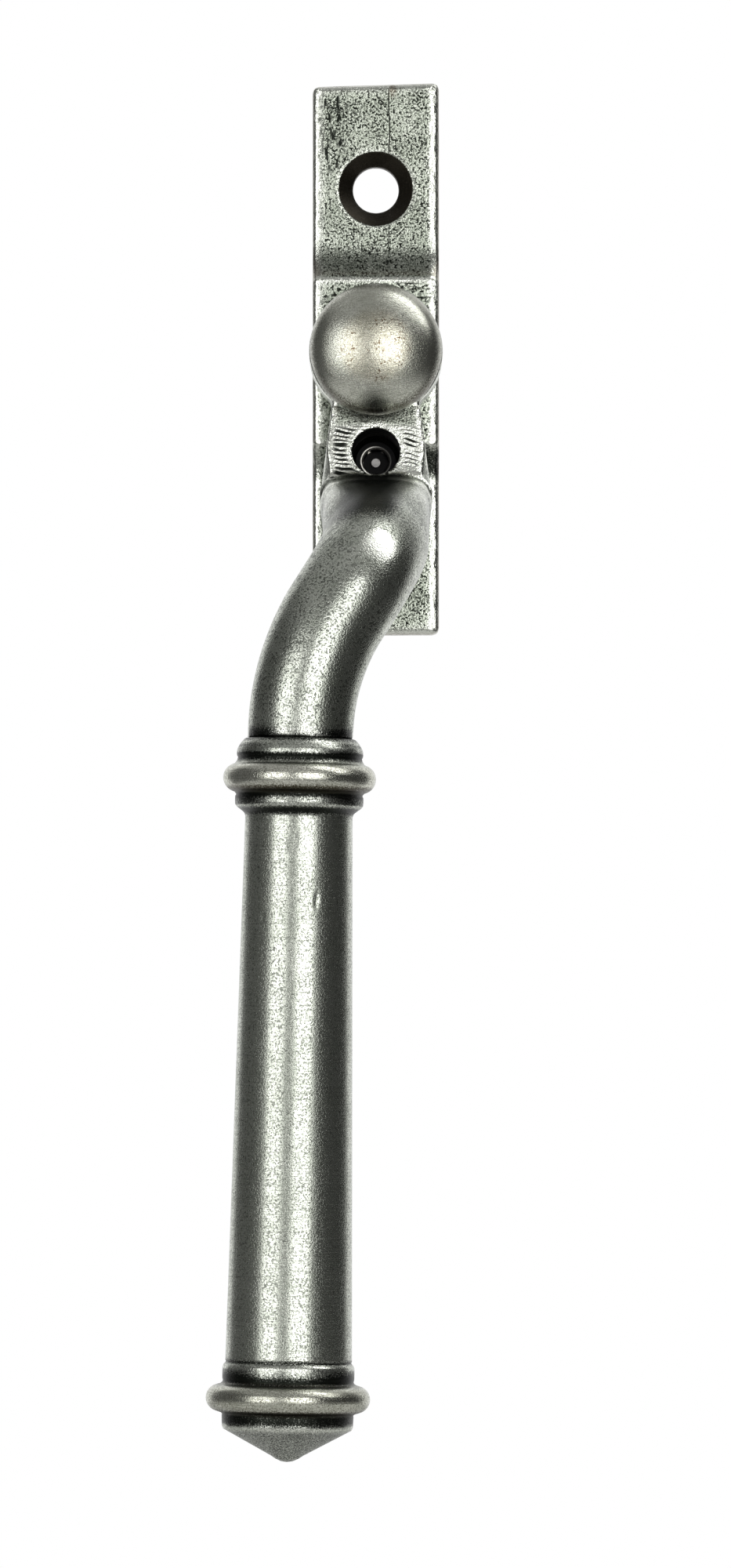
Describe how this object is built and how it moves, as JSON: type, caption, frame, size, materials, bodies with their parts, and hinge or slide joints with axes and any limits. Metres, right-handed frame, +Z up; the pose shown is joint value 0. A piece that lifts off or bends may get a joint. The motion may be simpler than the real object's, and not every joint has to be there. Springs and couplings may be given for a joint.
{
  "type": "espagnolette window handle",
  "caption": "Cranked steel window handle with a turned tapering grip, moulded collar and pointed pommel, on a narrow fixing plate with a square spindle and a key lock.",
  "frame": {"origin": "on the spindle axis, in the plane of the fixing plate's back face", "axes": "+Z up along the plate, -Y out of the window frame towards the hand, +X to the right as seen from the front; the spindle's tail points along +Y"},
  "size_m": [0.0292, 0.088, 0.1728],
  "materials": {
    "pewter_steel": "dark pewter patina, burnished bright on the high places",
    "bright_steel": "plain zinc plated",
    "spring_steel": "blackened spring steel",
    "lock_steel": "blackened, worn grey at the socket's rim",
    "bronze": "sintered bronze",
    "nylon": "plain"
  },
  "bodies": {
    "plate": {"fixing_plate": "pewter_steel", "pivot_bush": "bronze", "index_spring": "spring_steel", "nylon_washer": "nylon"},
    "lever": {"crank_arm": "pewter_steel", "grip": "pewter_steel", "grip_pin": "bright_steel", "domed_cap": "pewter_steel", "cap_washer": "spring_steel", "spindle": "bright_steel", "index_disc": "bright_steel", "retaining_ring": "spring_steel"},
    "lock_bolt": {"locking_pin": "lock_steel"},
    "lock_key": {"lock_screw": "lock_steel"}
  },
  "joints": [
    {"name": "lever_turn", "type": "hinge", "parent": "plate", "child": "lever", "pos_m": [0, 0, 0], "axis": [0, 1, 0], "range_deg": [0, 90]},
    {"name": "lock_travel", "type": "slide", "parent": "lever", "child": "lock_bolt", "axis": [0, 0.9848, -0.1736], "range_m": [0, 0.0036]},
    {"name": "lock_turn", "type": "hinge", "parent": "lock_bolt", "child": "lock_key", "pos_m": [0, -0.0097, -0.01381], "axis": [0, 0.9848, -0.1736], "range_deg": [0, 1620]}
  ],
  "couplings": [
    {"joint": "lock_turn", "follows": "lock_travel", "rad_per_m": 7853.9}
  ]
}
